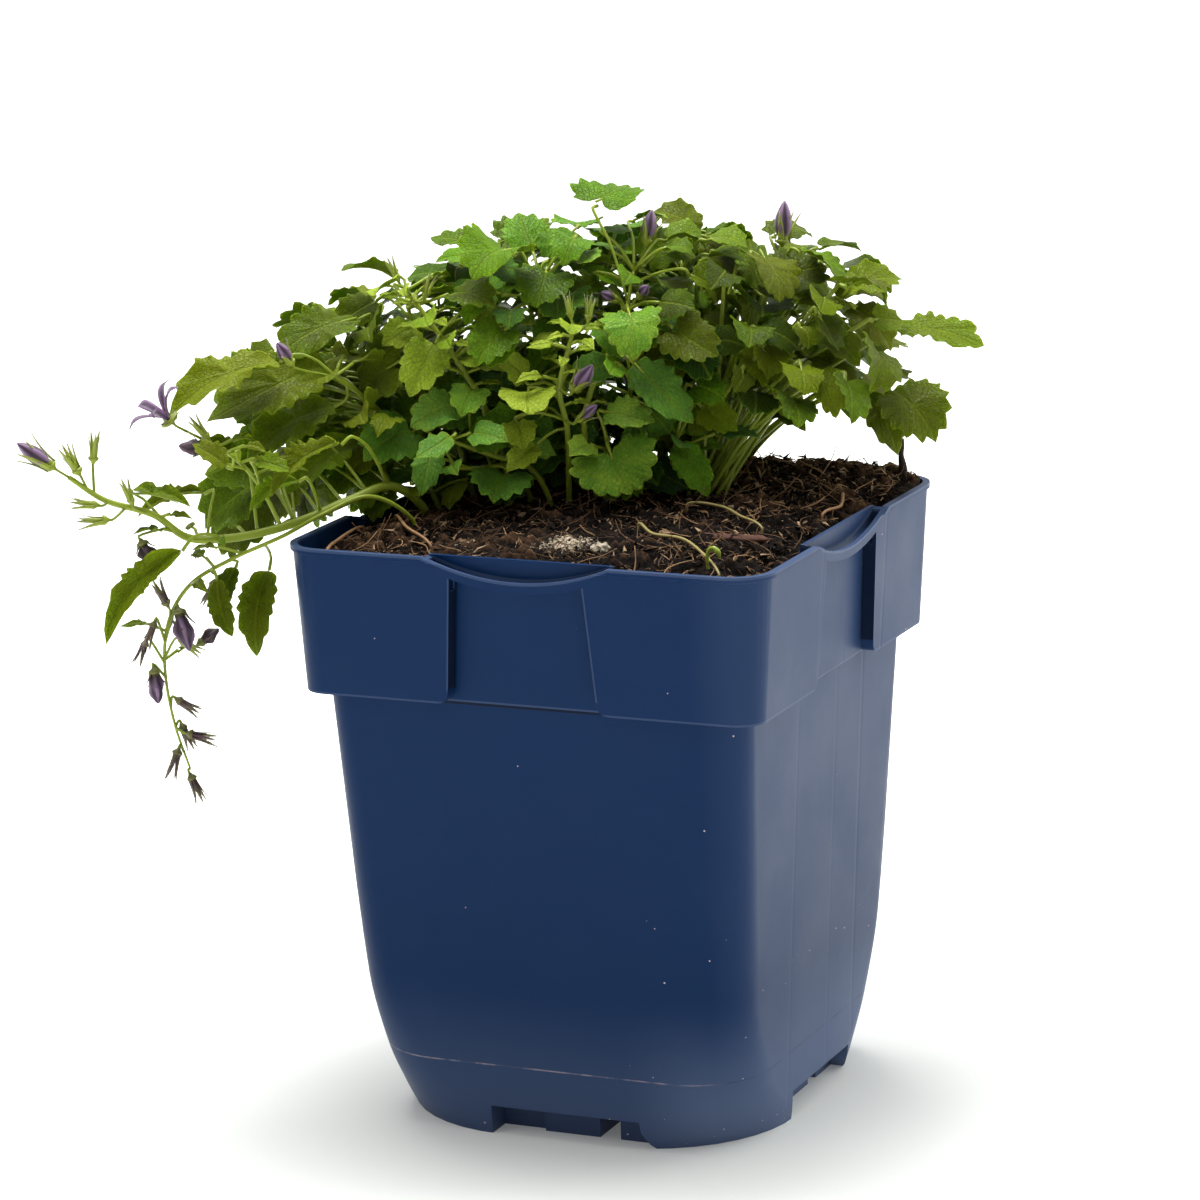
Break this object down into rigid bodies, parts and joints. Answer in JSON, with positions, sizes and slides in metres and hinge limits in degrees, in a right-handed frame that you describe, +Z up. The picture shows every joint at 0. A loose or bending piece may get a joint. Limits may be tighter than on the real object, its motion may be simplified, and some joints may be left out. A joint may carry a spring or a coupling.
{
  "type": "potted bellflower",
  "caption": "Trailing bellflower with toothed leaves, violet buds and a star flower, rooted in heaped peat in a square plastic nursery pot with a deep rim.",
  "frame": {"origin": "middle of the underside of the pot, where it stands on its flat base", "axes": "+Z up; -Y is towards the pot's front wall, +X to its right as seen from the front"},
  "size_m": [0.2359, 0.2194, 0.2701],
  "materials": {
    "pot_plastic": "injection-moulded polypropylene, dark navy blue, satin, lightly scuffed",
    "peat": "dark brown crumbly peat with fibres, matt",
    "leaf": "smooth green leaves with a satin surface and paler veins",
    "shoot": "young yellow-green leaves and stems, satin",
    "bloom": "thin violet petals, matt",
    "faded_bloom": "withered brownish-violet petals, matt",
    "runner_root": "pale yellow-green runner roots, matt",
    "straw": "dry straw, matt",
    "bark": "dry reddish-brown bark, matt",
    "perlite": "porous greyish-white perlite, matt"
  },
  "bodies": {
    "root": {"arching_stem": "leaf", "back_spray_1": "leaf", "back_spray_2": "leaf", "back_spray_3": "leaf", "back_spray_4": "leaf", "back_spray_5": "leaf", "back_spray_6": "leaf", "back_spray_7": "leaf", "back_spray_8": "leaf", "back_top": "leaf", "bark_strip": "bark", "central_bud": "bloom", "central_shoot": "shoot", "corner_twig": "bark", "dark_bud": "faded_bloom", "drooping_leaf": "leaf", "faded_flower": "faded_bloom", "front_left": "leaf", "front_low": "leaf", "front_right": "leaf", "hanging_bell": "faded_bloom", "hanging_spray": "leaf", "heart_leaf": "leaf", "inner_violet": "bloom", "left_long": "leaf", "left_shoot": "shoot", "left_side": "leaf", "left_top": "leaf", "perlite_lump": "perlite", "pink_bud": "bloom", "pot": "pot_plastic", "right_broad": "leaf", "right_bud": "leaf", "right_high": "leaf", "right_long": "leaf", "right_low": "leaf", "right_round": "leaf", "right_top": "leaf", "right_violet_bud": "bloom", "runner_root_front": "runner_root", "runner_root_right": "runner_root", "side_bud": "faded_bloom", "soil": "peat", "spire": "leaf", "spire_bud_left": "bloom", "spire_bud_right": "bloom", "star_flower": "bloom", "straw_front": "straw", "straw_left": "straw", "straw_right": "straw", "tip_bud": "bloom", "top_bud": "bloom", "top_left": "leaf", "violet_trumpet": "bloom"}
  },
  "joints": []
}
